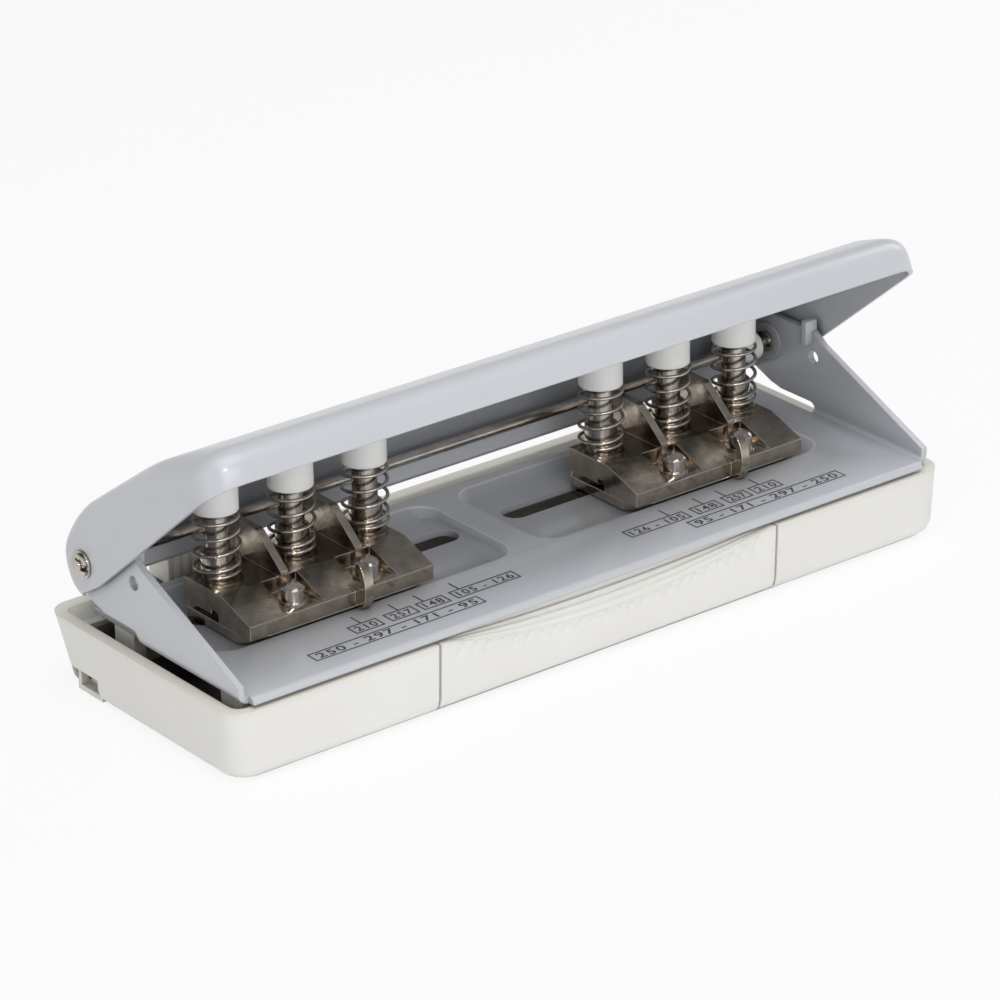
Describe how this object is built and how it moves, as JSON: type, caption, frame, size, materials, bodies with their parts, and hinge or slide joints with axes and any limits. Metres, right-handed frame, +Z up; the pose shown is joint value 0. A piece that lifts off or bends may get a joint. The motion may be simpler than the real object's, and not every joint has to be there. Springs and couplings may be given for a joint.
{
  "type": "adjustable paper hole punch",
  "caption": "Adjustable multi-hole paper punch with a press lever, sliding punch heads, sprung pins, latch and chip tray.",
  "frame": {"origin": "middle of the whole part's outline, on the table under the tray", "axes": "+X along the punch row to the right, +Y to the hinge side, +Z up; the latch is at the front"},
  "size_m": [0.1924, 0.0676, 0.0687],
  "materials": {
    "ivory_plastic": "fine satin",
    "grey_paint": "smooth satin enamel",
    "nickel": "plated casting",
    "bright_steel": "polished",
    "white_plastic": "smooth"
  },
  "bodies": {
    "tray": {"tray": "ivory_plastic"},
    "latch": {"latch_tab": "ivory_plastic"},
    "guide": {"paper_guide": "ivory_plastic"},
    "edge_stop": {"edge_stop": "ivory_plastic"},
    "frame": {"base_frame": "grey_paint", "rear_bar": "grey_paint", "hinge_shaft": "bright_steel", "ring_1": "bright_steel", "ring_2": "bright_steel", "ring_3": "bright_steel", "ring_4": "bright_steel", "washer_1": "bright_steel", "washer_2": "bright_steel", "shaft_roller": "white_plastic"},
    "lever": {"lever": "grey_paint", "lever_pad": "white_plastic"},
    "left_head": {"head_1": "nickel", "die_1": "nickel", "keeper_1": "bright_steel", "rivet_1": "bright_steel", "rivet_2": "bright_steel", "bushing_1": "bright_steel", "bushing_2": "bright_steel", "bushing_3": "bright_steel", "spring_1": "bright_steel", "spring_2": "bright_steel", "spring_3": "bright_steel"},
    "right_head": {"head_2": "nickel", "die_2": "nickel", "keeper_2": "bright_steel", "rivet_3": "bright_steel", "rivet_4": "bright_steel", "bushing_4": "bright_steel", "bushing_5": "bright_steel", "bushing_6": "bright_steel", "spring_4": "bright_steel", "spring_5": "bright_steel", "spring_6": "bright_steel"},
    "punch_1": {"pin_1": "bright_steel", "cap_1": "white_plastic"},
    "punch_2": {"pin_2": "bright_steel", "cap_2": "white_plastic"},
    "punch_3": {"pin_3": "bright_steel", "cap_3": "white_plastic"},
    "punch_4": {"pin_4": "bright_steel", "cap_4": "white_plastic"},
    "punch_5": {"pin_5": "bright_steel", "cap_5": "white_plastic"},
    "punch_6": {"pin_6": "bright_steel", "cap_6": "white_plastic"}
  },
  "joints": [
    {"name": "latch_flex", "type": "hinge", "parent": "tray", "child": "latch", "pos_m": [0.0016, -0.0318, 0.0013], "axis": [1, 0, 0], "range_deg": [0, 5], "stiffness_Nm_per_rad": 1.5},
    {"name": "guide_slide", "type": "slide", "parent": "tray", "child": "guide", "axis": [-1, 0, 0], "range_m": [0, 0.09]},
    {"name": "stop_slide", "type": "slide", "parent": "tray", "child": "edge_stop", "axis": [1, 0, 0], "range_m": [-0.018, 0.024]},
    {"name": "frame_lift", "type": "slide", "parent": "tray", "child": "frame", "axis": [0, 0, 1], "range_m": [0, 0.03]},
    {"name": "lever_press", "type": "hinge", "parent": "frame", "child": "lever", "pos_m": [0, 0.02, 0.0308], "axis": [1, 0, 0], "range_deg": [0, 22]},
    {"name": "left_head_slide", "type": "slide", "parent": "frame", "child": "left_head", "axis": [1, 0, 0], "range_m": [-0.0048, 0.0207]},
    {"name": "right_head_slide", "type": "slide", "parent": "frame", "child": "right_head", "axis": [1, 0, 0], "range_m": [-0.0243, 0.0012]},
    {"name": "punch_1_stroke", "type": "slide", "parent": "left_head", "child": "punch_1", "axis": [0, 0, -1], "range_m": [0, 0.007], "stiffness_N_per_m": 300, "springref_m": -0.004, "deforming": ["spring_1"]},
    {"name": "punch_2_stroke", "type": "slide", "parent": "left_head", "child": "punch_2", "axis": [0, 0, -1], "range_m": [0, 0.007], "stiffness_N_per_m": 300, "springref_m": -0.004, "deforming": ["spring_2"]},
    {"name": "punch_3_stroke", "type": "slide", "parent": "left_head", "child": "punch_3", "axis": [0, 0, -1], "range_m": [0, 0.007], "stiffness_N_per_m": 300, "springref_m": -0.004, "deforming": ["spring_3"]},
    {"name": "punch_4_stroke", "type": "slide", "parent": "right_head", "child": "punch_4", "axis": [0, 0, -1], "range_m": [0, 0.007], "stiffness_N_per_m": 300, "springref_m": -0.004, "deforming": ["spring_4"]},
    {"name": "punch_5_stroke", "type": "slide", "parent": "right_head", "child": "punch_5", "axis": [0, 0, -1], "range_m": [0, 0.007], "stiffness_N_per_m": 300, "springref_m": -0.004, "deforming": ["spring_5"]},
    {"name": "punch_6_stroke", "type": "slide", "parent": "right_head", "child": "punch_6", "axis": [0, 0, -1], "range_m": [0, 0.007], "stiffness_N_per_m": 300, "springref_m": -0.004, "deforming": ["spring_6"]}
  ],
  "couplings": [
    {"joint": "lever_press", "follows": "punch_1_stroke", "rad_per_m": 54.85},
    {"joint": "punch_2_stroke", "follows": "punch_1_stroke", "ratio": 1},
    {"joint": "punch_3_stroke", "follows": "punch_1_stroke", "ratio": 1},
    {"joint": "punch_4_stroke", "follows": "punch_1_stroke", "ratio": 1},
    {"joint": "punch_5_stroke", "follows": "punch_1_stroke", "ratio": 1},
    {"joint": "punch_6_stroke", "follows": "punch_1_stroke", "ratio": 1}
  ]
}
